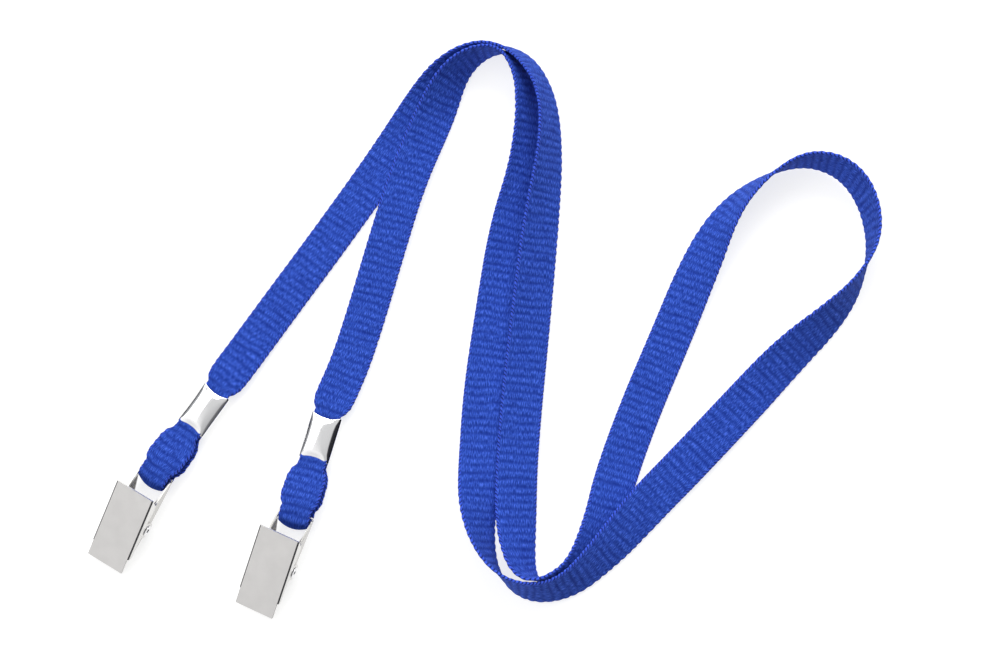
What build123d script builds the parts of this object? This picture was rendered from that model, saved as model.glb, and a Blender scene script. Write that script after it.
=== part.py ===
from build123d import *
import math
import os

# A neck lanyard laid out loosely on a surface: one long flat woven strap whose two ends
# are folded round the bar of a sprung badge clip and closed by a folded metal crimp.
# Millimetres, +Z up, +X to the right, +Y up the page, the surface at z = 0, and the
# origin under the middle of the whole laid-out lanyard.

# ---- webbing ----
STRAP_THICK = 0.85
# Width of the strap against its distance along the strap from the fold at a bar: gathered
# between the clip's arms, full beyond them, squeezed in the crimp, full after it.
STRAP_WIDTHS = [
    (0.0, 7.0), (3.2, 7.0), (6.5, 9.4), (12.5, 9.2), (15.8, 6.4), (28.6, 6.4), (31.4, 10.0),
]

# ---- crimp: a metal strip folded round both layers of the strap ----
CRIMP_LENGTH = 11.4
CRIMP_WIDTH = 8.0
CRIMP_HEIGHT = 3.4
CRIMP_WALL = 0.45
CRIMP_CORNER = 1.1
CRIMP_SEAM = 0.25
CRIMP_FROM_BAR = 19.5

# ---- clip, in its own frame: x from the bar towards the jaw, y across, z up ----
SHEET = 0.5
BAR_Z = 2.2
BAR_LENGTH = 1.8
BAR_THICK = 0.6
BAR_ROUND = 0.27
PLATE_WIDTH = 10.6
LIP_WIDTH = 10.0
PLATE_REAR = (5.4, 9.8)
PLATE_LIP = (25.0, 1.6)
FLANGE_END_X = 21.2
FLANGE_DEPTH_REAR = 3.2
FLANGE_DEPTH_WAIST = 2.3
FLANGE_DEPTH_MID = 1.9
FLANGE_DEPTH_FRONT = 1.5
FLANGE_HEEL_X = 9.4
FLANGE_SETBACK = 2.2
FLANGE_WAIST_X = 12.2
FLANGE_MID_X = 17.8
LIP_ROUND = 0.25
BEND_RADIUS = 0.42
PIN = (12.8, 2.4)
EAR_RADIUS = 2.1
EAR_SHOULDER = (2.0, 0.63)
LEVER_WIDTH = 9.1
LEVER_EAR_RADIUS = 1.7
LEVER_FLOOR = 0.1
LEVER_TIP_X = 21.1
LEVER_KNEE_X = 11.0
LEVER_TIP_HEIGHT = 1.4
ARM_END_X = -0.5
ARM_WEB_X = 0.5
ARM_RISE = 0.9
ARM_SHOULDER = (4.5, 1.8)
WINDOW_REAR_X = 2.4
WINDOW_FRONT_X = 8.5
WINDOW_FRONT_HALF = 2.4
JAW_GAP = 0.06
TOOTH_PITCH = 1.3
TOOTH_DEPTH = 0.4
RIVET_RADIUS = 0.85
RIVET_BORE = 0.5
RIVET_HEAD_RADIUS = 1.4
RIVET_HEAD_THICK = 0.25
RUNNING_CLEARANCE = 0.05
SPRING_WIRE = 0.45
SPRING_COIL_RADIUS = 1.2
SPRING_TURNS = 3
SPRING_LEG_RADIUS = 0.2
SPRING_UPPER_END_X = 7.0
SPRING_LOWER_END_X = 9.2

# ---- where the ends lie: bar centre, heading of the clip, heading of the strap's end ----
ENDS = {
    "left": {"bar": (-79.8, -35.8), "clip_heading": -120.0, "strap_heading": -125.8},
    "right": {"bar": (-44.4, -46.0), "clip_heading": -114.0, "strap_heading": -106.5},
}

# ---- route of the strap's middle line: x, y, z and roll ----
# It starts at the tail inside the left crimp and ends at the tail inside the right one.
# Roll turns the strap about its own line: 0 lies flat, 90 stands on edge with the
# traveller's left edge on top, 180 lies flat with the other face up.
ROUTE = [
    # left tail, fold round the bar, back out through the crimp
    (-65.5, -15.9, 1.0, 0),
    (-68.6, -20.2, 1.1, 0),
    (-72.4, -25.6, 0.9, 0),
    (-75.4, -29.7, 0.5, 0),
    (-77.8, -33.0, 0.45, 0),
    (-80.95, -37.4, 0.45, 0),
    (-80.95, -37.4, 3.95, 0),
    (-77.8, -33.0, 3.95, 0),
    (-75.2, -29.5, 3.6, 0),
    (-72.3, -25.3, 2.4, 0),
    (-68.4, -20.0, 2.3, 0),
    (-64.7, -14.9, 2.2, 0),
    # up to the top bend, where the strap stands on edge
    (-58.5, -6.0, 1.0, 0),
    (-50.0, 6.0, 0.5, 0),
    (-37.5, 23.0, 0.45, 0),
    (-24.0, 42.0, 0.5, 0),
    (-14.0, 56.0, 1.3, 18),
    (-6.2, 66.0, 3.9, 63),
    (3.0, 71.15, 5.0, 98),
    (11.7, 67.3, 4.8, 114),
    (17.4, 57.4, 4.8, 110),
    (18.2, 43.5, 4.2, 118),
    # down the right of the middle pair
    (15.5, 25.0, 2.5, 144),
    (13.0, 3.5, 1.8, 158),
    (10.5, -18.5, 1.6, 172),
    (9.0, -37.5, 1.6, 180),
    # round the inside of the bottom bend
    (9.15, -51.0, 2.6, 149),
    (10.9, -60.2, 4.3, 116),
    (16.4, -62.7, 4.9, 76),
    (24.0, -59.6, 4.1, 55),
    (29.8, -49.3, 2.0, 27),
    (33.0, -37.0, 0.8, 5),
    # up to the far loop and round it
    (39.0, -21.0, 0.5, 0),
    (46.5, -4.0, 0.5, 0),
    (53.5, 12.5, 1.0, -12),
    (60.5, 26.0, 2.8, -48),
    (69.5, 34.0, 4.7, -73),
    (79.5, 38.5, 5.0, -94),
    (88.5, 36.0, 5.0, -108),
    (94.0, 28.5, 5.0, -112),
    (95.5, 17.5, 4.8, -104),
    (91.0, 7.0, 4.2, -78),
    (84.5, -0.5, 3.3, -54),
    (74.0, -9.5, 1.8, -27),
    # back over the strand that went up, to the outside of the bottom bend
    (63.0, -21.0, 1.6, -8),
    (50.0, -34.5, 1.6, -4),
    (40.0, -44.5, 1.9, -14),
    (30.0, -56.0, 3.6, -42),
    (21.0, -64.05, 4.6, -61),
    (11.0, -65.2, 4.7, -69),
    (3.6, -59.4, 4.4, -93),
    (0.1, -48.5, 3.1, -130),
    (0.0, -35.0, 0.8, -176),
    # up the left of the middle pair to the inside of the top bend
    (1.0, -16.5, 0.45, -180),
    (4.0, 3.5, 0.5, -180),
    (7.5, 23.5, 1.3, -166),
    (12.2, 38.5, 2.6, -147),
    (13.1, 51.5, 4.0, -127),
    (12.1, 62.9, 4.6, -121),
    (5.3, 69.85, 5.0, -104),
    (-5.1, 65.5, 4.5, -67),
    (-11.5, 52.5, 2.2, -20),
    (-18.0, 37.5, 1.7, 0),
    # over the first strand and down to the right clip
    (-23.0, 21.0, 1.4, 0),
    (-27.5, 5.5, 0.8, 0),
    (-31.5, -7.5, 0.8, 0),
    (-34.5, -15.0, 1.3, 0),
    (-37.1, -21.3, 2.2, 0),
    (-38.9, -27.3, 2.3, 0),
    (-40.7, -33.6, 2.4, 0),
    (-42.2, -38.5, 3.6, 0),
    (-43.4, -42.6, 3.95, 0),
    (-45.0, -47.9, 3.95, 0),
    (-45.0, -47.9, 0.45, 0),
    (-43.4, -42.6, 0.45, 0),
    (-42.3, -38.8, 0.5, 0),
    (-40.8, -33.9, 0.9, 0),
    (-38.9, -27.6, 1.1, 0),
    (-37.4, -22.5, 1.0, 0),
]
# Corners of the route at a fold's first bend and inside each crimp, counted from each end.
FOLD_CORNER = 5
CRIMP_CORNER_INDEX = 10

ARC_SHARE = 0.45
DEGREES_PER_SEGMENT = 14.0


def interpolate(table, x):
    """Straight-line interpolation in a table of (x, value) pairs, held at its ends."""
    if x <= table[0][0]:
        return table[0][1]
    for (x0, v0), (x1, v1) in zip(table, table[1:]):
        if x <= x1:
            return v0 + (v1 - v0) * (x - x0) / (x1 - x0)
    return table[-1][1]


def heading_vector(degrees):
    return Vector(math.cos(math.radians(degrees)), math.sin(math.radians(degrees)), 0)


def strap_path(points):
    """The filleted path, and (start, end) distances along it of the arc at each corner."""
    radii, arcs = [], []
    travelled, tangent_before = 0.0, 0.0
    for before, here, after in zip(points, points[1:], points[2:]):
        turn = math.radians((here - before).get_angle(after - here))
        tangent = ARC_SHARE * min((here - before).length, (after - here).length)
        radii.append(tangent / math.tan(turn / 2))
        start = travelled + (here - before).length - tangent_before - tangent
        travelled = start + radii[-1] * turn
        arcs.append((start, travelled))
        tangent_before = tangent
    print("strap bend radii:", " ".join(f"{radius:.1f}" for radius in radii))
    return FilletPolyline(*points, radius=radii).wire(), arcs


def station_distances(path, arcs, rolls):
    """Distances of the strap's sections: closer where it bends or rolls, none repeated."""
    edges = [0.0, *[d for arc in arcs for d in (arc[0], sum(arc) / 2, arc[1])], path.length]
    distances = [0.0]
    for start, end in zip(edges, edges[1:]):
        tangents = [path.tangent_at(d, position_mode=PositionMode.LENGTH) for d in (start, end)]
        turn = tangents[0].get_angle(tangents[1])
        roll = abs(interpolate(rolls, end) - interpolate(rolls, start))
        pieces = max(1, math.ceil(max(turn, roll) / DEGREES_PER_SEGMENT))
        distances += [start + (end - start) * (i + 1) / pieces for i in range(pieces)]
    return distances


def strap_sections():
    """Four-cornered sections of the whole strap, with the index of each crimp's section."""
    points = [Vector(x, y, z) for x, y, z, _ in ROUTE]
    path, arcs = strap_path(points)
    corner_at = [0.0, *[sum(arc) / 2 for arc in arcs], path.length]
    rolls = [(at, row[3]) for at, row in zip(corner_at, ROUTE)]
    last = len(ROUTE) - 1
    folds = [sum(corner_at[i : i + 2]) / 2 for i in (FOLD_CORNER, last - FOLD_CORNER - 1)]
    cuts = [corner_at[i] for i in (CRIMP_CORNER_INDEX, last - CRIMP_CORNER_INDEX)]
    across = [heading_vector(ENDS[side]["strap_heading"] + 90) for side in ("left", "right")]
    distances = station_distances(path, arcs, rolls)
    rings = []
    for distance in distances:
        centre = path.position_at(distance, position_mode=PositionMode.LENGTH)
        tangent = path.tangent_at(distance, position_mode=PositionMode.LENGTH)
        if distance < cuts[0]:
            side, normal = -across[0], tangent.cross(-across[0])
        elif distance > cuts[1]:
            side, normal = across[1], tangent.cross(across[1])
        else:
            left = Vector(0, 0, 1).cross(tangent).normalized()
            up = tangent.cross(left)
            roll = math.radians(interpolate(rolls, distance))
            side = left * math.cos(roll) + up * math.sin(roll)
            normal = up * math.cos(roll) - left * math.sin(roll)
        from_fold = min(abs(distance - fold) for fold in folds)
        half_side = side * (interpolate(STRAP_WIDTHS, from_fold) / 2)
        half_thick = normal.normalized() * (STRAP_THICK / 2)
        # A section whose edge would dip below the surface is raised until it rests on it.
        lowest = centre.Z - abs(half_side.Z) - abs(half_thick.Z)
        centre += Vector(0, 0, max(0.0, -lowest))
        rings.append([
            centre + half_side + half_thick,
            centre - half_side + half_thick,
            centre - half_side - half_thick,
            centre + half_side - half_thick,
        ])
    stations = range(len(distances))
    cut_indexes = [min(stations, key=lambda i: abs(distances[i] - cut)) for cut in cuts]
    print(f"strap length {path.length:.1f}, sections {len(rings)}")
    return rings, cut_indexes, path.length


def polygon(*corners):
    return Face(Wire.make_polygon(corners, close=True))


def ribbon_solid(rings):
    """A closed solid through four-cornered sections."""
    faces = [polygon(*rings[0]), polygon(*rings[-1])]
    for ring, following in zip(rings, rings[1:]):
        for i in range(4):
            j = (i + 1) % 4
            faces.append(polygon(ring[i], following[i], following[j]))
            faces.append(polygon(ring[i], following[j], ring[j]))
    return Solid(Shell(faces))


def strap_nodes():
    rings, (left_cut, right_cut), length = strap_sections()
    nodes = {
        "strap_loop_left": ribbon_solid(rings[: left_cut + 1]),
        "strap": ribbon_solid(rings[left_cut : right_cut + 1]),
        "strap_loop_right": ribbon_solid(rings[right_cut:]),
    }
    expected = interpolate(STRAP_WIDTHS, length) * STRAP_THICK * length
    total = sum(solid.volume for solid in nodes.values())
    print(f"strap volume {total:.0f} mm3, full section times length {expected:.0f} mm3")
    return nodes


def crimp():
    """The folded band, centred on its own middle with its length along x."""
    middle = Plane.YZ.offset(-CRIMP_LENGTH / 2)
    outer = RectangleRounded(CRIMP_WIDTH, CRIMP_HEIGHT, CRIMP_CORNER)
    inner = RectangleRounded(
        CRIMP_WIDTH - 2 * CRIMP_WALL, CRIMP_HEIGHT - 2 * CRIMP_WALL, CRIMP_CORNER - CRIMP_WALL
    )
    band = extrude(middle * (outer - inner), CRIMP_LENGTH)
    seam = Pos(0, 0, -CRIMP_HEIGHT / 2) * Box(CRIMP_LENGTH + 1, CRIMP_SEAM, 2 * CRIMP_WALL + 0.2)
    return Pos(0, 0, CRIMP_HEIGHT / 2) * (band - seam)


def side_profile(points, half_width):
    """A solid across the clip from an outline in its x-z plane."""
    return extrude(Plane.XZ * Polygon(*points, align=None), half_width, both=True)


def both_walls(outline, outer_width):
    """Two side walls of sheet from one outline, their outer faces outer_width apart."""
    wall = extrude(outline, SHEET / 2, both=True)
    offset = (outer_width - SHEET) / 2
    return Pos(0, offset, 0) * wall + Pos(0, -offset, 0) * wall


def cross_pin(radius, length):
    return Pos(PIN[0], 0, PIN[1]) * Rot(X=90) * Cylinder(radius, length)


def disc(centre, radius):
    return Plane.XZ * Pos(*centre) * Circle(radius)


PITCH = math.atan2(PLATE_REAR[1] - PLATE_LIP[1], PLATE_LIP[0] - PLATE_REAR[0])


def below_plate(x, depth):
    """The point that lies depth under the plate's top face, square to it from x."""
    top = PLATE_REAR[1] - (x - PLATE_REAR[0]) * math.tan(PITCH)
    return (x - depth * math.sin(PITCH), top - depth * math.cos(PITCH))


def cover_plate():
    """The upper jaw: a flat plate with two side flanges that carry the pivot ears."""
    rear, lip = PLATE_REAR[0], PLATE_LIP[0]
    outlines = {
        PLATE_WIDTH: [(rear, 0), (FLANGE_END_X, 0), (FLANGE_END_X, SHEET), (rear, SHEET)],
        LIP_WIDTH: [(rear, 0), (lip, 0), (lip, SHEET), (rear, SHEET)],
    }
    wide, narrow = [
        side_profile([below_plate(*point) for point in outline], width / 2)
        for width, outline in outlines.items()
    ]
    short_edges = narrow.edges().filter_by(lambda edge: edge.length < SHEET * 1.01)
    plate = wide + fillet(short_edges.sort_by(Axis.X)[-2:], LIP_ROUND)
    pin_x, pin_z = PIN
    shoulder_x, shoulder_z = EAR_SHOULDER
    outline = [
        below_plate(rear, 0),
        below_plate(FLANGE_END_X, 0),
        below_plate(FLANGE_END_X, FLANGE_DEPTH_FRONT),
        below_plate(FLANGE_MID_X, FLANGE_DEPTH_MID),
        (pin_x + shoulder_x, pin_z + shoulder_z),
        (pin_x - shoulder_x, pin_z + shoulder_z),
        below_plate(FLANGE_WAIST_X, FLANGE_DEPTH_WAIST),
        below_plate(FLANGE_HEEL_X, FLANGE_DEPTH_REAR),
        below_plate(rear + FLANGE_SETBACK, FLANGE_DEPTH_REAR),
    ]
    flange = Plane.XZ * Polygon(*outline, align=None) + disc(PIN, EAR_RADIUS)
    cover = plate + both_walls(flange, PLATE_WIDTH)
    long_edges = cover.edges().filter_by(lambda edge: edge.length > FLANGE_END_X - rear)
    bends = [edge for edge in long_edges if abs(edge.center().Y) > (PLATE_WIDTH - SHEET) / 2]
    cover = fillet(bends, BEND_RADIUS)
    return cover - cross_pin(RIVET_RADIUS + RUNNING_CLEARANCE, PLATE_WIDTH + 1)


def jaw_lever():
    """The lower jaw: floor, side walls, toothed tip, and two arms that end in the bar."""
    half, window_half = LEVER_WIDTH / 2, LEVER_WIDTH / 2 - SHEET
    tip_x, knee_x, floor = LEVER_TIP_X, LEVER_KNEE_X, LEVER_FLOOR
    arm_z = BAR_Z - BAR_THICK / 2
    web = side_profile(
        [
            (tip_x, floor), (knee_x, floor), (ARM_WEB_X, arm_z),
            (ARM_WEB_X, arm_z + SHEET), (knee_x, floor + SHEET), (tip_x, floor + SHEET),
        ],
        half,
    )
    window = Polygon(
        (0, -window_half), (WINDOW_REAR_X, -window_half), (WINDOW_FRONT_X, -WINDOW_FRONT_HALF),
        (WINDOW_FRONT_X, WINDOW_FRONT_HALF), (WINDOW_REAR_X, window_half), (0, window_half),
        align=None,
    )
    web -= extrude(window, PLATE_REAR[1])
    outline = [
        (tip_x, floor), (knee_x, floor), (0, arm_z), (ARM_END_X, BAR_Z), (0, arm_z + ARM_RISE),
        (ARM_SHOULDER[0], arm_z + ARM_SHOULDER[1]), (PIN[0], PIN[1] + LEVER_EAR_RADIUS),
        (PIN[0] + LEVER_EAR_RADIUS, PIN[1]), (tip_x, floor + LEVER_TIP_HEIGHT),
    ]
    side = Plane.XZ * Polygon(*outline, align=None) + disc(PIN, LEVER_EAR_RADIUS)
    walls = both_walls(side, LEVER_WIDTH)
    bar = Pos(0, 0, BAR_Z) * Box(BAR_LENGTH, LEVER_WIDTH - SHEET, BAR_THICK)
    bar = fillet(bar.edges().filter_by(Axis.Y), BAR_ROUND)
    jaw_top = below_plate(tip_x, SHEET)[1] - JAW_GAP
    jaw = Box(SHEET, LEVER_WIDTH, jaw_top - floor)
    jaw = Pos(tip_x - SHEET / 2, 0, (floor + jaw_top) / 2) * jaw
    gap_outline = Polygon(
        (TOOTH_DEPTH, 0), (0, TOOTH_PITCH / 2), (0, -TOOTH_PITCH / 2), align=None
    )
    tooth_gap = Rot(Y=90) * extrude(gap_outline, 2 * SHEET, both=True)
    for i in range(-3, 4):
        jaw -= Pos(tip_x, i * TOOTH_PITCH, jaw_top) * tooth_gap
    return web + walls + bar + jaw - cross_pin(RIVET_RADIUS, LEVER_WIDTH + 1)


def pivot_rivet():
    """A hollow rivet through all four walls, with a flared head outside each ear."""
    head_from = PLATE_WIDTH / 2 + RUNNING_CLEARANCE
    length = 2 * (head_from + RIVET_HEAD_THICK)
    rivet = cross_pin(RIVET_RADIUS, length)
    for side in (1, -1):
        head = cross_pin(RIVET_HEAD_RADIUS, RIVET_HEAD_THICK)
        rivet += Pos(0, side * (head_from + RIVET_HEAD_THICK / 2), 0) * head
    return rivet - cross_pin(RIVET_BORE, length + 1)


def wire_between(start, end):
    """A straight leg of the spring, a little thinner than the sleeve's wall that it joins."""
    line = Vector(*end) - Vector(*start)
    return extrude(Plane(origin=start, z_dir=line) * Circle(SPRING_LEG_RADIUS), line.length)


def torsion_spring():
    """The coil round the rivet, drawn as a closed sleeve, with one leg for each jaw."""
    width = SPRING_TURNS * SPRING_WIRE
    sleeve = cross_pin(SPRING_COIL_RADIUS + SPRING_WIRE / 2, width)
    sleeve -= cross_pin(SPRING_COIL_RADIUS - SPRING_WIRE / 2, width + 1)
    leg_y = (width - SPRING_WIRE) / 2
    end_x, end_z = below_plate(SPRING_UPPER_END_X, SHEET + SPRING_WIRE / 2 + JAW_GAP)
    reach = math.hypot(end_x - PIN[0], end_z - PIN[1])
    angle = math.atan2(end_z - PIN[1], end_x - PIN[0]) - math.acos(SPRING_COIL_RADIUS / reach)
    upper_start = (
        PIN[0] + SPRING_COIL_RADIUS * math.cos(angle),
        leg_y,
        PIN[1] + SPRING_COIL_RADIUS * math.sin(angle),
    )
    lower_z = PIN[1] - SPRING_COIL_RADIUS
    upper = wire_between(upper_start, (end_x, leg_y, end_z))
    lower = wire_between((PIN[0], -leg_y, lower_z), (SPRING_LOWER_END_X, -leg_y, lower_z))
    return sleeve + upper + lower


def all_nodes():
    nodes = strap_nodes()
    clip_parts = {
        "cover_plate": cover_plate(),
        "jaw_lever": jaw_lever(),
        "pivot_rivet": pivot_rivet(),
        "torsion_spring": torsion_spring(),
    }
    for side, end in ENDS.items():
        at_bar = Pos(*end["bar"], 0)
        for name, shape in clip_parts.items():
            nodes[f"{name}_{side}"] = at_bar * Rot(Z=end["clip_heading"]) * shape
        back = heading_vector(end["strap_heading"]) * -CRIMP_FROM_BAR
        nodes[f"crimp_{side}"] = Pos(*back) * at_bar * Rot(Z=end["strap_heading"]) * crimp()
    return nodes


os.makedirs("parts", exist_ok=True)
for name, shape in all_nodes().items():
    export_step(shape.solids()[0], f"parts/{name}.step")
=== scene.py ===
import math

import bmesh
import bpy
from mathutils import Matrix, Vector, noise


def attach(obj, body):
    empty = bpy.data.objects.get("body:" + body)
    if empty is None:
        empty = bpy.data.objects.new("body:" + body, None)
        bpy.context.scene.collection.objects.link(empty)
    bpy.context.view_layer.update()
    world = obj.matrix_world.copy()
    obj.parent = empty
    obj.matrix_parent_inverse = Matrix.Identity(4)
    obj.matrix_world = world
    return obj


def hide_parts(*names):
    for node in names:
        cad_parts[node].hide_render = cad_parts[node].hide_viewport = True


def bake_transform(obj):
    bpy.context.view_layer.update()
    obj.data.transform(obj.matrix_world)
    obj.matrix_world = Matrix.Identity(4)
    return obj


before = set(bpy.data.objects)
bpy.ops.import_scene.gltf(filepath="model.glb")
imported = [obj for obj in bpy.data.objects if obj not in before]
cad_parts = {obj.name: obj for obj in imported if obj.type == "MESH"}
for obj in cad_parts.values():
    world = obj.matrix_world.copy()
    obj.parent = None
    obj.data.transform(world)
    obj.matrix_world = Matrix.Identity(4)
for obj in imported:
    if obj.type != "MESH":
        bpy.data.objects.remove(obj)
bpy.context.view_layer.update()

MM = 0.001
SIDES = ("left", "right")

# ---- sizes in millimetres, as in the CAD ----
STRAP_THICK = 0.85
STRAP_WIDTH = 10.0
# Width of the webbing against its distance along the strap from the fold: drawn in at the bar and
# in the crimp. Near the clip it differs from the CAD's by up to 0.8 mm.
STRAP_WIDTHS = [
    (0.0, 7.7), (4.8, 7.75), (5.5, 8.8), (7.0, 9.8), (12.0, 9.7), (13.8, 8.7),
    (15.2, 6.8), (29.0, 6.8), (30.2, 8.6), (31.8, 9.7), (34.5, 10.0),
]
CRIMP_LENGTH = 11.4
CRIMP_WIDTH = 8.0
CRIMP_HEIGHT = 3.4
CRIMP_FROM_BAR = 19.5
PLATE_REAR = (5.4, 9.8)
PLATE_LIP = (25.0, 1.6)
PIN = (12.8, 2.4)
SPRING_WIRE = 0.45
SPRING_COIL_RADIUS = 1.2
ENDS = {
    "left": {"bar": (-79.8, -35.8), "clip_heading": -120.0, "strap_heading": -125.8},
    "right": {"bar": (-44.4, -46.0), "clip_heading": -114.0, "strap_heading": -106.5},
}

# The strap's route in millimetres and roll in degrees: the CAD's, five rows moved by under 0.4 mm.
ROUTE = [
    # left tail, fold round the bar, back out through the crimp
    (-65.5, -15.9, 1.0, 0),
    (-68.6, -20.2, 1.1, 0),
    (-72.4, -25.6, 0.9, 0),
    (-75.4, -29.7, 0.5, 0),
    (-77.8, -33.0, 0.45, 0),
    (-80.95, -37.4, 0.45, 0),
    (-80.95, -37.4, 3.95, 0),
    (-77.8, -33.0, 3.95, 0),
    (-75.2, -29.5, 3.6, 0),
    (-72.3, -25.3, 2.4, 0),
    (-68.4, -20.0, 2.3, 0),
    (-64.7, -14.9, 2.2, 0),
    # up to the top bend, where the strap stands on edge
    (-58.5, -6.0, 1.0, 0),
    (-50.0, 6.0, 0.5, 0),
    (-37.5, 23.0, 0.45, 0),
    (-24.0, 42.0, 0.5, 0),
    (-14.0, 56.0, 1.3, 18),
    (-6.2, 66.0, 3.9, 63),
    (3.0, 70.95, 5.0, 101),
    (11.7, 67.3, 4.8, 114),
    (17.4, 57.4, 4.8, 110),
    (18.2, 43.5, 4.2, 118),
    # down the right of the middle pair
    (15.5, 25.0, 2.5, 144),
    (13.0, 3.5, 1.8, 158),
    (10.5, -18.5, 1.6, 172),
    (9.0, -37.5, 1.6, 180),
    # round the inside of the bottom bend
    (9.15, -51.0, 2.6, 149),
    (10.9, -60.4, 4.3, 116),
    (16.4, -62.85, 4.9, 77),
    (24.0, -59.6, 4.1, 55),
    (29.8, -49.3, 2.0, 27),
    (33.0, -37.0, 0.8, 5),
    # up to the far loop and round it
    (39.0, -21.0, 0.5, 0),
    (46.5, -4.0, 0.5, 0),
    (53.5, 12.5, 1.0, -12),
    (60.5, 26.0, 2.8, -48),
    (69.5, 34.0, 4.7, -73),
    (79.5, 38.5, 5.0, -94),
    (88.5, 36.0, 5.0, -108),
    (94.0, 28.5, 5.0, -112),
    (95.5, 17.5, 4.8, -104),
    (91.0, 7.0, 4.2, -78),
    (84.5, -0.5, 3.3, -54),
    (74.0, -9.5, 1.8, -27),
    # back over the strand that went up, to the outside of the bottom bend
    (63.0, -21.0, 1.6, -8),
    (50.0, -34.5, 1.6, -4),
    (40.0, -44.5, 1.9, -14),
    (30.0, -56.0, 3.6, -42),
    (21.0, -64.05, 4.6, -61),
    (11.0, -65.15, 4.7, -68),
    (3.6, -59.4, 4.4, -93),
    (0.1, -48.5, 3.1, -130),
    (0.0, -35.0, 0.8, -176),
    # up the left of the middle pair to the inside of the top bend
    (1.0, -16.5, 0.45, -180),
    (4.0, 3.5, 0.5, -180),
    (7.5, 23.5, 1.3, -166),
    (12.2, 38.5, 2.6, -147),
    (13.1, 51.5, 4.0, -127),
    (12.1, 62.9, 4.6, -121),
    (5.4, 70.15, 5.0, -101),
    (-5.1, 65.5, 4.5, -67),
    (-11.5, 52.5, 2.2, -20),
    (-18.0, 37.5, 1.7, 0),
    # over the first strand and down to the right clip
    (-23.0, 21.0, 1.4, 0),
    (-27.5, 5.5, 0.8, 0),
    (-31.5, -7.5, 0.8, 0),
    (-34.5, -15.0, 1.3, 0),
    (-37.1, -21.3, 2.2, 0),
    (-38.9, -27.3, 2.3, 0),
    (-40.7, -33.6, 2.4, 0),
    (-42.2, -38.5, 3.6, 0),
    (-43.4, -42.6, 3.95, 0),
    (-45.0, -47.9, 3.95, 0),
    (-45.0, -47.9, 0.45, 0),
    (-43.4, -42.6, 0.45, 0),
    (-42.3, -38.8, 0.5, 0),
    (-40.8, -33.9, 0.9, 0),
    (-38.9, -27.6, 1.1, 0),
    (-37.4, -22.5, 1.0, 0),
]
# Rows counted from either end: the two corners of the fold, and the row up to which the strap lies
# level, square to its heading at the clip. The route's rolls hold beyond that row.
FOLD_CORNERS = (5, 6)
ROLL_FROM = 10


# ---- small helpers ----

def interpolate(table, x):
    """Straight-line interpolation in a table of (x, value) pairs, held at its ends."""
    if x <= table[0][0]:
        return table[0][1]
    for (x0, v0), (x1, v1) in zip(table, table[1:]):
        if x <= x1:
            return v0 + (v1 - v0) * (x - x0) / (x1 - x0)
    return table[-1][1]


def smoothstep(low, high, x):
    t = min(1.0, max(0.0, (x - low) / (high - low)))
    return t * t * (3 - 2 * t)


def heading_vector(degrees):
    return Vector((math.cos(math.radians(degrees)), math.sin(math.radians(degrees)), 0))


def clip_matrix(side):
    """From the clip's own frame in millimetres to the whole lanyard's frame in metres."""
    end = ENDS[side]
    turn = Matrix.Rotation(math.radians(end["clip_heading"]), 4, "Z")
    return Matrix.Translation(Vector((*end["bar"], 0)) * MM) @ turn @ Matrix.Scale(MM, 4)


def new_object(name, data):
    obj = bpy.data.objects.new(name, data)
    bpy.context.scene.collection.objects.link(obj)
    return obj


def smooth_shaded(mesh):
    mesh.polygons.foreach_set("use_smooth", [True] * len(mesh.polygons))


def mesh_object(name, vertices, faces):
    mesh = bpy.data.meshes.new(name)
    mesh.from_pydata(vertices, [], faces)
    mesh.validate()
    smooth_shaded(mesh)
    return new_object(name, mesh)


def apply_modifiers(obj):
    """Bakes an object's modifiers into a plain mesh."""
    graph = bpy.context.evaluated_depsgraph_get()
    mesh = bpy.data.meshes.new_from_object(obj.evaluated_get(graph))
    obj.modifiers.clear()
    obj.data = mesh


# ---- shader nodes ----

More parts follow.
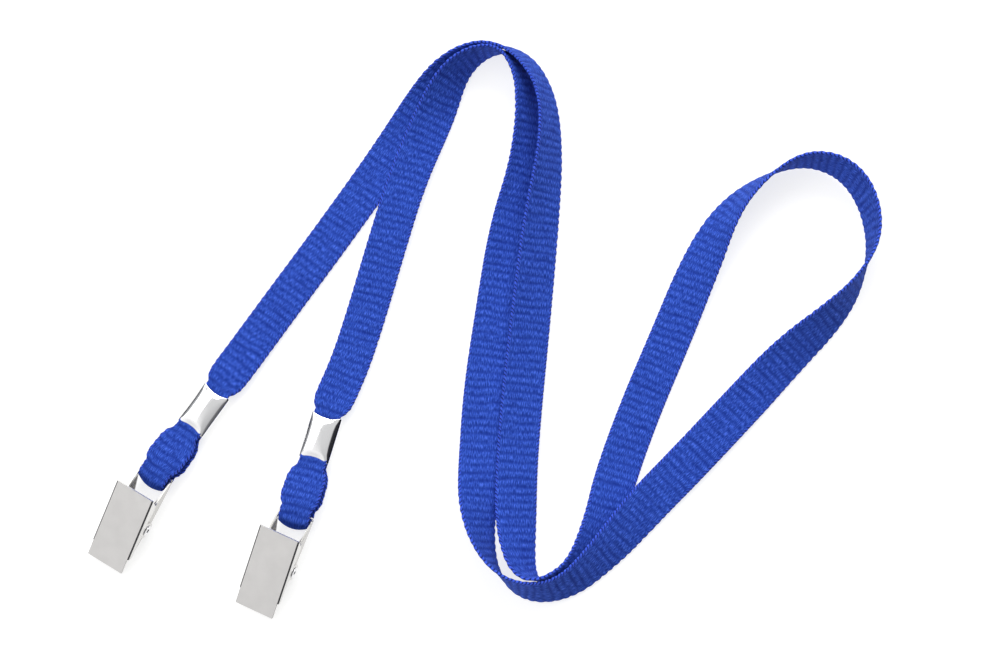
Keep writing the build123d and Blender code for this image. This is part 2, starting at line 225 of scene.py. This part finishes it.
class Shading:
    """A node tree with one method for each kind of node used here.

    A value is a number, or another node's output to link. In a mix it may also be a colour.
    """

    def __init__(self, tree):
        self.nodes = tree.nodes
        self.links = tree.links

    def put(self, socket, value):
        if isinstance(value, bpy.types.NodeSocket):
            self.links.new(value, socket)
        elif isinstance(value, tuple):
            socket.default_value = (*value, 1.0)
        else:
            socket.default_value = value

    def math(self, operation, *values):
        node = self.nodes.new("ShaderNodeMath")
        node.operation = operation
        for socket, value in zip(node.inputs, values):
            self.put(socket, value)
        return node.outputs[0]

    def split(self, vector):
        node = self.nodes.new("ShaderNodeSeparateXYZ")
        self.links.new(vector, node.inputs["Vector"])
        return node.outputs

    def stretched(self, vector, scale):
        node = self.nodes.new("ShaderNodeVectorMath")
        node.operation = "MULTIPLY"
        node.inputs[1].default_value = scale
        self.links.new(vector, node.inputs[0])
        return node.outputs[0]

    def along_direction(self, vector, direction):
        """How much a unit vector points along a fixed direction: 1 is straight along it."""
        node = self.nodes.new("ShaderNodeVectorMath")
        node.operation = "DOT_PRODUCT"
        node.inputs[1].default_value = Vector(direction).normalized()
        self.links.new(vector, node.inputs[0])
        return node.outputs["Value"]

    def noise(self, vector, scale, detail=2.0):
        node = self.nodes.new("ShaderNodeTexNoise")
        node.inputs["Scale"].default_value = scale
        node.inputs["Detail"].default_value = detail
        self.links.new(vector, node.inputs["Vector"])
        return node.outputs[0]

    def map_range(self, value, from_range=(0.0, 1.0), to_range=(0.0, 1.0)):
        node = self.nodes.new("ShaderNodeMapRange")
        node.inputs["From Min"].default_value, node.inputs["From Max"].default_value = from_range
        node.inputs["To Min"].default_value, node.inputs["To Max"].default_value = to_range
        self.links.new(value, node.inputs["Value"])
        return node.outputs[0]

    def ramp(self, factor, stops):
        node = self.nodes.new("ShaderNodeValToRGB")
        ramp = node.color_ramp
        while len(ramp.elements) < len(stops):
            ramp.elements.new(0.5)
        for element, (position, colour) in zip(ramp.elements, stops):
            element.position = position
            element.color = (*colour, 1.0)
        self.links.new(factor, node.inputs["Fac"])
        return node.outputs["Color"]

    def mix(self, factor, first, second, blend_type="MIX"):
        node = self.nodes.new("ShaderNodeMix")
        node.data_type = "RGBA"
        node.blend_type = blend_type
        # Inputs 6 and 7 and output 2 are the colours' sockets.
        for index, value in ((0, factor), (6, first), (7, second)):
            self.put(node.inputs[index], value)
        return node.outputs[2]

    def bump(self, height, distance, strength=1.0):
        node = self.nodes.new("ShaderNodeBump")
        node.inputs["Distance"].default_value = distance
        node.inputs["Strength"].default_value = strength
        self.links.new(height, node.inputs["Height"])
        return node.outputs["Normal"]


def new_material(name):
    material = bpy.data.materials.new(name)
    material.use_nodes = True
    return material, Shading(material.node_tree), material.node_tree.nodes["Principled BSDF"].inputs


# ---- camera ----

CAMERA_AT = (0.0550, -0.0742, 0.4083)
CAMERA_TARGET = (0.0050, -0.0017, 0.0)
CAMERA_LENS = 61.5
CAMERA_SENSOR = 36.0
CAMERA_CLIP_START = 0.01


def make_camera():
    data = bpy.data.cameras.new("camera")
    data.lens = CAMERA_LENS
    data.sensor_width = CAMERA_SENSOR
    data.clip_start = CAMERA_CLIP_START
    camera = new_object("camera", data)
    back = (Vector(CAMERA_AT) - Vector(CAMERA_TARGET)).normalized()
    right = Vector((0, 1, 0)).cross(back).normalized()
    up = back.cross(right)
    turn = Matrix((right, up, back)).transposed().to_4x4()
    camera.matrix_world = Matrix.Translation(CAMERA_AT) @ turn
    bpy.context.scene.camera = camera


make_camera()


# ---- the strap: one continuous ribbon along the route's spline ----

SPLINE_RESOLUTION = 24
STATION_STEP = 0.3
COLUMNS = 15
# The middle of the fold bulges away from the strap, and the bulge fades over about the reach.
FOLD_BULGE = 1.1
FOLD_REACH = 2.2
# The section is flat with round edges: how far its points crowd towards the edges, how suddenly
# its thickness drops there, and the least that the thickness comes to on either face.
CROWDING = 0.85
SQUARENESS = 36
THINNEST = 0.04
EDGE_INSET = 0.02
# The ribs, and how the selvedges differ from them.
RIB_PITCH = 1.9
RIB_DEPTH = 0.19
EDGE_WAVE = 0.30
EDGE_WAVE_FROM = 0.6
EDGE_WAVE_MEAN = 0.3
SELVEDGE_WIDTH = 0.75
SELVEDGE_BLEND = 0.15
SELVEDGE_RIB_LOSS = 0.55
VALLEY_DEPTH = 0.05
VALLEY_WIDTH = 0.22
BACK_SEED = 50.0
# Noises on the grooves: rate along and across the strap, seed, and strength.
GROOVE_WANDER = (0.16, 0.22, 0.0, 0.26)
GROOVE_RAGGED = (0.5, 0.9, 7.0, 0.10)
GROOVE_UNEVEN = (0.33, 0.25, 19.0, 0.50)
GROOVE_MEAN = 0.80


def spline_points(rows):
    """Points of a smooth spline, order 3 and ending on its end points, with these control points."""
    curve = bpy.data.curves.new("route", "CURVE")
    curve.dimensions = "3D"
    curve.resolution_u = SPLINE_RESOLUTION
    spline = curve.splines.new("NURBS")
    spline.points.add(len(rows) - 1)
    for point, row in zip(spline.points, rows):
        point.co = (*row, 1.0)
    spline.order_u = 3
    spline.use_endpoint_u = True
    obj = bpy.data.objects.new("route", curve)
    mesh = bpy.data.meshes.new_from_object(obj)
    points = [vertex.co.copy() for vertex in mesh.vertices]
    bpy.data.objects.remove(obj)
    return points


def running_lengths(points):
    lengths = [0.0]
    for before, after in zip(points, points[1:]):
        lengths.append(lengths[-1] + (after - before).length)
    return lengths


def lengths_near(centres, lengths, targets):
    """How far along the spline it passes two targets, one in each of its halves."""
    last, half = len(centres) - 1, len(centres) // 2
    halves = (range(half), range(last, last - half, -1))
    found = []
    for places, target in zip(halves, targets):
        index = min(places, key=lambda i: (centres[i] - target).length)
        found.append(lengths[index])
    return found


def smooth_tangent(centres, index, share):
    """The spline's direction between two of its points, turning evenly from one to the next."""
    here = centres[index + 1] - centres[index]
    before = centres[index] - centres[index - 1] if index > 0 else here
    after = centres[index + 2] - centres[index + 1] if index + 2 < len(centres) else here
    start = (before.normalized() + here.normalized()).normalized()
    end = (here.normalized() + after.normalized()).normalized()
    return start.lerp(end, share).normalized()


def strap_stations(centres, rolls):
    """Stations at even steps along the spline, in millimetres.

    Each one is its distance along the spline, its centre, the directions across the strap and out
    of its face, its width, and how far its middle bulges.
    """
    lengths = running_lengths(centres)
    total = lengths[-1]
    middles = [Vector(row[:3]) for row in ROUTE]
    first, second = FOLD_CORNERS
    fold_middles = (
        (middles[first] + middles[second]) / 2,
        (middles[-1 - first] + middles[-1 - second]) / 2,
    )
    folds = lengths_near(centres, lengths, fold_middles)
    roll_from, roll_to = lengths_near(centres, lengths, (middles[ROLL_FROM], middles[-1 - ROLL_FROM]))
    across_left, across_right = (
        heading_vector(ENDS[side]["strap_heading"] + 90) for side in SIDES
    )
    count = round(total / STATION_STEP)
    stations, index = [], 0
    for i in range(count + 1):
        distance = total * i / count
        while index < len(lengths) - 2 and lengths[index + 1] < distance:
            index += 1
        share = (distance - lengths[index]) / (lengths[index + 1] - lengths[index])
        centre = centres[index].lerp(centres[index + 1], share)
        tangent = smooth_tangent(centres, index, share)
        if distance < roll_from:
            side = -across_left
        elif distance > roll_to:
            side = across_right
        else:
            roll = math.radians(rolls[index].x + (rolls[index + 1].x - rolls[index].x) * share)
            level = Vector((0, 0, 1)).cross(tangent).normalized()
            side = level * math.cos(roll) + tangent.cross(level) * math.sin(roll)
        normal = tangent.cross(side).normalized()
        from_fold, end_name = min((abs(distance - fold), name) for fold, name in zip(folds, SIDES))
        width = interpolate(STRAP_WIDTHS, from_fold)
        bulge = FOLD_BULGE * math.exp(-((from_fold / FOLD_REACH) ** 2))
        forward = heading_vector(ENDS[end_name]["strap_heading"]) * bulge
        stations.append((distance, centre, side, normal, width, forward))
    return stations


def groove_noise(kind, distance, across, seed):
    along_rate, across_rate, extra_seed, strength = kind
    place = Vector((distance * along_rate, across * across_rate, seed + extra_seed))
    return strength * noise.noise(place)


def rib_groove(distance, across, seed):
    """0 on a rib's crown to about 1 in the groove between two ribs; the grooves wander and break."""
    wander = groove_noise(GROOVE_WANDER, distance, across, seed)
    ragged = groove_noise(GROOVE_RAGGED, distance, across, seed)
    phase = distance / RIB_PITCH + wander + ragged
    depth = GROOVE_MEAN + groove_noise(GROOVE_UNEVEN, distance, across, seed)
    return max(0.0, depth) * (0.5 + 0.5 * math.cos(2 * math.pi * phase)) ** 2


def strap_ring(distance, centre, side, normal, width, forward):
    """One closed ring of the ribbon's section, and the place and the groove of each of its points.

    A place is -1 at one edge of the webbing and 1 at the other.
    """
    half = width / 2 - EDGE_INSET
    ring, places, grooves = [], [], []
    for face, seed, shift in ((1, 0.0, 0.0), (-1, BACK_SEED, RIB_PITCH / 2)):
        for column in range(COLUMNS):
            turn = math.pi * (column + 0.5) / COLUMNS
            across = math.cos(turn) * face
            place = math.copysign(abs(across) ** CROWDING, across)
            groove = rib_groove(distance + shift, place * STRAP_WIDTH / 2, seed)
            into_selvedge = SELVEDGE_WIDTH - (1 - abs(place)) * STRAP_WIDTH / 2
            selvedge = smoothstep(-SELVEDGE_BLEND, SELVEDGE_BLEND, into_selvedge)
            round_off = (1 - abs(place) ** SQUARENESS) ** 0.5
            sunk = RIB_DEPTH * groove * (1 - SELVEDGE_RIB_LOSS * selvedge)
            valley = VALLEY_DEPTH * math.exp(-((into_selvedge / VALLEY_WIDTH) ** 2))
            height = max(THINNEST, (STRAP_THICK / 2 - sunk - valley) * round_off)
            wave = EDGE_WAVE * (groove - EDGE_WAVE_MEAN) * smoothstep(EDGE_WAVE_FROM, 1.0, abs(place))
            sideways = side * (place * (half - wave))
            ring.append(centre + sideways + normal * height * face + forward * (1 - place * place))
            places.append(place)
            grooves.append(groove)
    return ring, places, grooves


def make_strap():
    centres = spline_points([row[:3] for row in ROUTE])
    rolls = spline_points([(row[3], 0.0, 0.0) for row in ROUTE])
    stations = strap_stations(centres, rolls)
    vertices, faces, groove_of, uv_of = [], [], [], []
    ring_size = 2 * COLUMNS
    for distance, centre, side, normal, width, forward in stations:
        # A station that would sink into the surface is lifted on to it.
        lowest = centre.z - abs(side.z) * width / 2 - abs(normal.z) * STRAP_THICK / 2
        centre = centre + Vector((0, 0, max(0.0, -lowest)))
        ring, places, grooves = strap_ring(distance, centre, side, normal, width, forward)
        for point, place, groove in zip(ring, places, grooves):
            point.z = max(point.z, 0.0)
            vertices.append(point * MM)
            uv_of.append((place, distance / STRAP_WIDTH))
            groove_of.append(groove)
    for i in range(len(stations) - 1):
        first, second = i * ring_size, (i + 1) * ring_size
        for j in range(ring_size):
            k = (j + 1) % ring_size
            faces.append((first + j, first + k, second + k, second + j))
    faces.append(tuple(range(ring_size))[::-1])
    faces.append(tuple(range(len(vertices) - ring_size, len(vertices))))
    strap = mesh_object("woven_strap", vertices, faces)
    groove = strap.data.attributes.new("groove", "FLOAT", "POINT")
    groove.data.foreach_set("value", groove_of)
    layer = strap.data.uv_layers.new(name="weave")
    for loop in strap.data.loops:
        layer.data[loop.index].uv = uv_of[loop.vertex_index]
    path = [point * MM for point in centres]
    return strap, path


strap, strap_path = make_strap()
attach(strap, "strap")
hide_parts("strap", "strap_loop_left", "strap_loop_right")


# ---- webbing: its "weave" UV runs from -1 to 1 across, and by 1 for each strap width along ----

YARNS = 48
YARN_WOBBLE = 1.6
WOBBLE_SCALE = (13.0, 9.0, 1)
# Each yarn is dashed where it dives under the weft, and broad patches are a little duller.
DASH_SCALE = (25.0, 8.5, 1)
DASH_BLUES = [
    (0.36, (0.015, 0.050, 0.36)), (0.50, (0.034, 0.098, 0.58)), (0.64, (0.082, 0.190, 0.89)),
]
PATCH_SCALE = (1.6, 2.2, 1)
PATCH_TINTS = [(0.3, (0.86, 0.86, 0.9)), (0.7, (1.0, 1.0, 1.0))]
# Colours laid over that, each with its strength: painted shade between yarns and in grooves, then the
# selvedge's blue.
PAINTED_SHADE_BETWEEN_YARNS = (0.45, (0.008, 0.028, 0.24))
PAINTED_SHADE_IN_GROOVES = (0.80, (0.010, 0.034, 0.29))
ON_SELVEDGE = (0.65, (0.060, 0.125, 0.80))
SELVEDGE_RANGE = (0.87, 0.91)
# The weft turns round each edge in short slanting stitches, dark between each other.
STITCH_PITCH = 0.95
STITCH_SLANT = 34.0
STITCH_RANGE = (0.1, 0.7)
BETWEEN_STITCHES = (0.92, (0.008, 0.018, 0.13))
YARN_RELIEF = 0.6
DASH_RELIEF = 1.2
RELIEF_DISTANCE = 0.00013
RELIEF_STRENGTH = 0.9
WEBBING_FINISH = {
    "Roughness": 0.78,
    "Specular IOR Level": 0.10,
    "Sheen Weight": 0.05,
    "Sheen Roughness": 0.4,
    "Sheen Tint": (0.12, 0.28, 1.0, 1.0),
}


def webbing_material():
    """Royal blue polyester: yarns along the strap with painted shade between them and in the grooves,
    stitched-looking edges.
    """
    material, shading, inputs = new_material("webbing")
    uv_node = shading.nodes.new("ShaderNodeUVMap")
    uv_node.uv_map = "weave"
    uv = uv_node.outputs["UV"]
    across, along, _ = shading.split(uv)
    groove = shading.nodes.new("ShaderNodeAttribute")
    groove.attribute_name = "groove"

    yarn_noise = shading.noise(shading.stretched(uv, WOBBLE_SCALE), 1.0, 1.0)
    wobble = shading.math("MULTIPLY", yarn_noise, YARN_WOBBLE)
    yarn_angle = shading.math("MULTIPLY_ADD", across, math.pi * YARNS / 2, wobble)
    yarn = shading.math("ABSOLUTE", shading.math("SINE", yarn_angle))
    dashes = shading.noise(shading.stretched(uv, DASH_SCALE), 1.0)
    patches = shading.noise(shading.stretched(uv, PATCH_SCALE), 1.0)
    tone = shading.mix(
        1.0, shading.ramp(dashes, DASH_BLUES), shading.ramp(patches, PATCH_TINTS), "MULTIPLY",
    )

    edge = shading.math("ABSOLUTE", across)
    selvedge = shading.map_range(edge, SELVEDGE_RANGE)
    slant = shading.math("MULTIPLY", edge, STITCH_SLANT)
    turns = shading.math("MULTIPLY_ADD", along, 2 * math.pi * STRAP_WIDTH / STITCH_PITCH, slant)
    stitches = shading.map_range(shading.math("SINE", turns), STITCH_RANGE)
    shade_between_yarns = shading.math("POWER", shading.math("SUBTRACT", 1.0, yarn), 2.0)
    # The first two masks paint shade: between the yarns and in the rib grooves.
    for mask, (strength, colour) in (
        (shade_between_yarns, PAINTED_SHADE_BETWEEN_YARNS),
        (groove.outputs["Fac"], PAINTED_SHADE_IN_GROOVES),
        (selvedge, ON_SELVEDGE),
        (shading.math("MULTIPLY", selvedge, stitches), BETWEEN_STITCHES),
    ):
        tone = shading.mix(shading.math("MULTIPLY", mask, strength), tone, colour)
    shading.links.new(tone, inputs["Base Color"])

    height = shading.math(
        "MULTIPLY_ADD", yarn, YARN_RELIEF, shading.math("MULTIPLY", dashes, DASH_RELIEF),
    )
    shading.links.new(shading.bump(height, RELIEF_DISTANCE, RELIEF_STRENGTH), inputs["Normal"])
    for name, value in WEBBING_FINISH.items():
        inputs[name].default_value = value
    return material


strap.data.materials.append(webbing_material())


# ---- metals ----

GRAIN_DETAIL = 3.0
TONE_SCALE = 260.0
TONE_RANGE = (0.3, 0.7)
GLOSS_RANGE = (0.8, 1.2)


def metal_material(name, colour, roughness, grain_depth, grain_scale, mottle=0.03):
    """Nickel plate with a fine grain and slight changes of tone and gloss."""
    material, shading, inputs = new_material(name)
    place = shading.nodes.new("ShaderNodeTexCoord").outputs["Object"]
    grain = shading.noise(place, grain_scale, GRAIN_DETAIL)
    tones = [tuple(value * share for value in colour) for share in (1 - mottle, 1 + mottle)]
    tone = shading.ramp(shading.noise(place, TONE_SCALE), list(zip(TONE_RANGE, tones)))
    gloss = shading.map_range(grain, to_range=[roughness * share for share in GLOSS_RANGE])
    shading.links.new(tone, inputs["Base Color"])
    shading.links.new(gloss, inputs["Roughness"])
    shading.links.new(shading.bump(grain, grain_depth), inputs["Normal"])
    inputs["Metallic"].default_value = 1.0
    return material


satin = metal_material("satin_nickel", (0.765, 0.755, 0.742), 0.42, 0.000004, 9000)
stamped = metal_material("stamped_nickel", (0.60, 0.59, 0.57), 0.22, 0.000003, 5000)
bright = metal_material("bright_nickel", (0.86, 0.86, 0.87), 0.10, 0.000002, 2500, 0.01)
wire = metal_material("spring_wire", (0.60, 0.60, 0.62), 0.25, 0.000003, 6000)
# Painted shade and reflection: a dark colour for the plate's long bends, not a finish of the metal.
bend = metal_material("bend_painted_shade", (0.10, 0.10, 0.105), 0.30, 0.000003, 6000)


# ---- stamped pieces: the CAD's solids with every edge rounded over ----

# Metres and degrees.
WELD_DISTANCE = 0.000002
FLAT_ANGLE = 2
ROUNDED_ANGLE = 30
FACE_WEIGHT = 100
# A face belongs to one of the plate's long bends, and gets their painted shade, if it leans this far
# from the plate's top, in degrees, and faces mostly sideways.
BEND_TILT = (12.0, 78.0)
BEND_FACING = 0.5


def add_bevel(piece, width, segments, angle):
    """Rounds the edges sharper than an angle in degrees."""
    bevel = piece.modifiers.new("edges", "BEVEL")
    bevel.width = width
    bevel.segments = segments
    bevel.limit_method = "ANGLE"
    bevel.angle_limit = math.radians(angle)


def paint_shade_on_bends(piece, side):
    """Paints shade and reflection dark on the faces where the sheet was bent down along its two long
    edges.
    """
    to_clip = clip_matrix(side).inverted().to_3x3().normalized()
    slope = (PLATE_REAR[1] - PLATE_LIP[1]) / (PLATE_LIP[0] - PLATE_REAR[0])
    plate_up = Vector((slope, 0, 1)).normalized()
    piece.data.materials.append(bend)
    for polygon in piece.data.polygons:
        facing = (to_clip @ polygon.normal).normalized()
        tilt = math.degrees(facing.angle(plate_up))
        if BEND_TILT[0] < tilt < BEND_TILT[1] and abs(facing.x) < BEND_FACING:
            polygon.material_index = 1


def stamped_piece(node, edge_width, material, body):
    """A CAD node's solid with its edges rounded over by a width in metres."""
    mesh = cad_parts[node].data.copy()
    bm = bmesh.new()
    bm.from_mesh(mesh)
    bmesh.ops.remove_doubles(bm, verts=bm.verts, dist=WELD_DISTANCE)
    bmesh.ops.dissolve_limit(
        bm, angle_limit=math.radians(FLAT_ANGLE), verts=bm.verts, edges=bm.edges,
    )
    bm.to_mesh(mesh)
    bm.free()
    mesh.materials.clear()
    smooth_shaded(mesh)
    piece = new_object(f"{node}_metal", mesh)
    add_bevel(piece, edge_width, 3, ROUNDED_ANGLE)
    piece.modifiers.new("flat_faces", "WEIGHTED_NORMAL").weight = FACE_WEIGHT
    apply_modifiers(piece)
    piece.data.materials.append(material)
    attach(piece, body)
    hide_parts(node)
    return piece


for side in SIDES:
    plate = stamped_piece(
        f"cover_plate_{side}", 0.00016, satin, f"clip_{side}_plate",
    )
    paint_shade_on_bends(plate, side)
    stamped_piece(f"jaw_lever_{side}", 0.00010, stamped, f"clip_{side}_base")
    stamped_piece(f"pivot_rivet_{side}", 0.00007, bright, f"clip_{side}_base")


# ---- crimps: a pillow-topped band folded round the strap ----

CRIMP_RING = 72
CRIMP_STEPS = 30
CRIMP_WALL = 0.45
# The section is a squarish oval. Its top sinks at the sides and rises to a crown in the middle.
SECTION_POWER = 2 / 3.4
CROWN_INSET = 0.5
CROWN_BELOW_EDGE = 0.6
CROWN_RISE = 0.42
CROWN_SINK = 0.30
# Each mouth's top edge is cut back and pinched towards the strap.
MOUTH_CUT = 0.75
MOUTH_PINCH = 0.30
PINCH_FROM = 0.72
# The band's two ends meet in a shallow groove along the underside.
SEAM_DEPTH = 0.22
SEAM_WIDTH = 0.22
# How far the band's edges are rounded over, in metres, and from which angle in degrees.
CRIMP_EDGE = 0.00010
CRIMP_SHARP_ANGLE = 50


def crimp_point(along, turn, inset):
    """A point of the band: along from -1 to 1 between its mouths, turn round its section."""
    c, s = math.cos(turn), math.sin(turn)
    y = math.copysign(abs(c) ** SECTION_POWER, c) * (CRIMP_WIDTH / 2 - inset)
    z = math.copysign(abs(s) ** SECTION_POWER, s) * (CRIMP_HEIGHT / 2 - inset)
    middle = max(0.0, 1 - (y / (CRIMP_WIDTH / 2 - CROWN_INSET)) ** 2)
    edge = CRIMP_HEIGHT / 2 - CROWN_BELOW_EDGE
    on_top, underneath = smoothstep(0.0, edge, z), smoothstep(0.0, edge, -z)
    x = along * (CRIMP_LENGTH / 2 - MOUTH_CUT * middle * on_top)
    crown = CROWN_RISE * middle * on_top * (1 - abs(along) ** 3) - CROWN_SINK * on_top
    pinch = MOUTH_PINCH * middle * on_top * smoothstep(PINCH_FROM, 1.0, abs(along))
    seam = SEAM_DEPTH * math.exp(-((y / SEAM_WIDTH) ** 2)) * underneath
    return x, y, max(0.0, CRIMP_HEIGHT / 2 + z + crown - pinch + seam)


def crimp_faces():
    """Quads of the outer shell, the inner shell, and the rims that join them at both mouths."""
    layer = (CRIMP_STEPS + 1) * CRIMP_RING
    faces = []
    for shell_start, turned in ((0, False), (layer, True)):
        for i in range(CRIMP_STEPS):
            for j in range(CRIMP_RING):
                a = shell_start + i * CRIMP_RING + j
                b = shell_start + i * CRIMP_RING + (j + 1) % CRIMP_RING
                quad = (a, b, b + CRIMP_RING, a + CRIMP_RING)
                faces.append(quad[::-1] if turned else quad)
    for i, turned in ((0, False), (CRIMP_STEPS, True)):
        for j in range(CRIMP_RING):
            a, b = i * CRIMP_RING + j, i * CRIMP_RING + (j + 1) % CRIMP_RING
            quad = (b, a, a + layer, b + layer)
            faces.append(quad[::-1] if turned else quad)
    return faces


def make_crimp(side):
    vertices = [
        crimp_point(2 * i / CRIMP_STEPS - 1, 2 * math.pi * (j + 0.5) / CRIMP_RING, inset)
        for inset in (0.0, CRIMP_WALL)
        for i in range(CRIMP_STEPS + 1)
        for j in range(CRIMP_RING)
    ]
    crimp = mesh_object(f"crimp_{side}_metal", vertices, crimp_faces())
    end = ENDS[side]
    turn = Matrix.Rotation(math.radians(end["strap_heading"]), 4, "Z")
    middle = Vector((*end["bar"], 0)) - heading_vector(end["strap_heading"]) * CRIMP_FROM_BAR
    crimp.data.transform(Matrix.Translation(middle * MM) @ turn @ Matrix.Scale(MM, 4))
    add_bevel(crimp, CRIMP_EDGE, 2, CRIMP_SHARP_ANGLE)
    apply_modifiers(crimp)
    smooth_shaded(crimp.data)
    crimp.data.materials.append(bright)
    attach(crimp, "strap")
    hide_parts(f"crimp_{side}")


for side in SIDES:
    make_crimp(side)


# ---- torsion springs: three turns of wire round the rivet, with a leg for each jaw ----

SPRING_TURNS = 3
SPRING_STEPS = 20
UPPER_LEG_END = (7.2, 8.15)
LOWER_LEG_X = 9.2
# The wire is drawn a little thin, so that its turns don't cut into each other.
WIRE_SHARE = 0.96


def spring_points():
    """The wire's middle line in the clip's frame: upper leg, coil, lower leg."""
    y_start = (SPRING_TURNS - 1) * SPRING_WIRE / 2
    reach = Vector((UPPER_LEG_END[0] - PIN[0], UPPER_LEG_END[1] - PIN[1]))
    first = math.atan2(reach.y, reach.x) - math.acos(SPRING_COIL_RADIUS / reach.length)
    last = -math.pi / 2 - 2 * math.pi * (SPRING_TURNS - 1)
    points = [(UPPER_LEG_END[0], y_start, UPPER_LEG_END[1])]
    steps = SPRING_STEPS * SPRING_TURNS
    for i in range(steps + 1):
        share = i / steps
        turn = first + (last - first) * share
        points.append((
            PIN[0] + SPRING_COIL_RADIUS * math.cos(turn),
            y_start - 2 * y_start * share,
            PIN[1] + SPRING_COIL_RADIUS * math.sin(turn),
        ))
    points.append((LOWER_LEG_X, -y_start, PIN[1] - SPRING_COIL_RADIUS))
    return points


def make_spring(side):
    points = spring_points()
    curve = bpy.data.curves.new(f"spring_{side}", "CURVE")
    curve.dimensions = "3D"
    curve.bevel_depth = SPRING_WIRE / 2 * WIRE_SHARE
    curve.bevel_resolution = 3
    curve.use_fill_caps = True
    spline = curve.splines.new("POLY")
    spline.points.add(len(points) - 1)
    for point, place in zip(spline.points, points):
        point.co = (*place, 1.0)
    maker = new_object(f"spring_maker_{side}", curve)
    mesh = bpy.data.meshes.new_from_object(maker)
    bpy.data.objects.remove(maker)
    matrix = clip_matrix(side)
    mesh.transform(matrix)
    smooth_shaded(mesh)
    spring = new_object(f"torsion_spring_{side}_wire", mesh)
    spring.data.materials.append(wire)
    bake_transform(spring)
    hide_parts(f"torsion_spring_{side}")


for side in SIDES:
    make_spring(side)


# ---- surface and lights ----

# Metres. The floor lies just under the strap, so that the two don't touch.
FLOOR_HALF = 6.0
FLOOR_HEIGHT = -0.0003
FLOOR_FINISH = {
    "Base Color": (0.38, 0.38, 0.37, 1),
    "Roughness": 0.9,
    "Specular IOR Level": 0.1,
    "Emission Color": (1, 1, 1, 1),
    "Emission Strength": 0.74,
}
# Place, size and power of each area light; both are aimed at the origin.
KEY_LIGHT = ((0.35, 1.15, 0.95), (1.2, 0.9), 18.5)
FILL_LIGHT = ((-0.7, 0.45, 1.1), (0.9, 0.9), 5.0)


def make_floor():
    corners = [(x * FLOOR_HALF, y * FLOOR_HALF, 0) for x, y in ((-1, -1), (1, -1), (1, 1), (-1, 1))]
    floor = mesh_object("floor", corners, [(0, 1, 2, 3)])
    floor.location.z = FLOOR_HEIGHT
    material, _, inputs = new_material("floor")
    for name, value in FLOOR_FINISH.items():
        inputs[name].default_value = value
    floor.data.materials.append(material)


def area_light(name, place, size, power):
    data = bpy.data.lights.new(name, "AREA")
    data.shape = "RECTANGLE"
    data.size, data.size_y = size
    data.energy = power
    light = new_object(name, data)
    light.location = place
    light.rotation_euler = (-Vector(place)).to_track_quat("-Z", "Y").to_euler()


make_floor()
area_light("key", *KEY_LIGHT)
area_light("fill", *FILL_LIGHT)


# ---- world: what the metal reflects ----

SKY_BY_HEIGHT = [
    (0.0, (0.03, 0.03, 0.035)), (0.16, (0.07, 0.075, 0.085)), (0.42, (0.62, 0.63, 0.65)),
    (0.75, (1.0, 1.0, 1.0)),
]
# The light comes from the north: the sky is dimmer towards the south.
SKY_SOUTH_TO_NORTH = [(0.0, (0.35, 0.35, 0.37)), (0.5, (0.9, 0.9, 0.9)), (1.0, (1.0, 1.0, 1.0))]
# A dark card low in the east, as a studio sets one beside polished metal for its reflection.
DARK_CARD_TOWARDS = (0.88, -0.12, 0.46)
DARK_CARD = [(0.84, (1.0, 1.0, 1.0)), (0.90, (0.05, 0.05, 0.06))]
# A soft white card in the south-west, which the clips' plates reflect.
WHITE_CARD_TOWARDS = (-0.58, -0.42, 0.66)
WHITE_CARD = [(0.72, (0.0, 0.0, 0.0)), (0.92, (0.56, 0.55, 0.54))]
WORLD_STRENGTH = 0.82


def make_world():
    world = bpy.data.worlds.new("world")
    world.use_nodes = True
    shading = Shading(world.node_tree)
    direction = shading.nodes.new("ShaderNodeTexCoord").outputs["Generated"]
    _, northing, height = shading.split(direction)
    # From -1..1 to 0..1, the reach of a colour ramp.
    north = shading.math("MULTIPLY_ADD", northing, 0.5, 0.5)
    sky = shading.ramp(height, SKY_BY_HEIGHT)
    for factor, stops, blend_type in (
        (shading.along_direction(direction, DARK_CARD_TOWARDS), DARK_CARD, "MULTIPLY"),
        (north, SKY_SOUTH_TO_NORTH, "MULTIPLY"),
        (shading.along_direction(direction, WHITE_CARD_TOWARDS), WHITE_CARD, "ADD"),
    ):
        sky = shading.mix(1.0, sky, shading.ramp(factor, stops), blend_type)
    background = shading.nodes["Background"].inputs
    shading.links.new(sky, background["Color"])
    background["Strength"].default_value = WORLD_STRENGTH
    bpy.context.scene.world = world


make_world()
bpy.context.scene.view_settings.view_transform = "Standard"
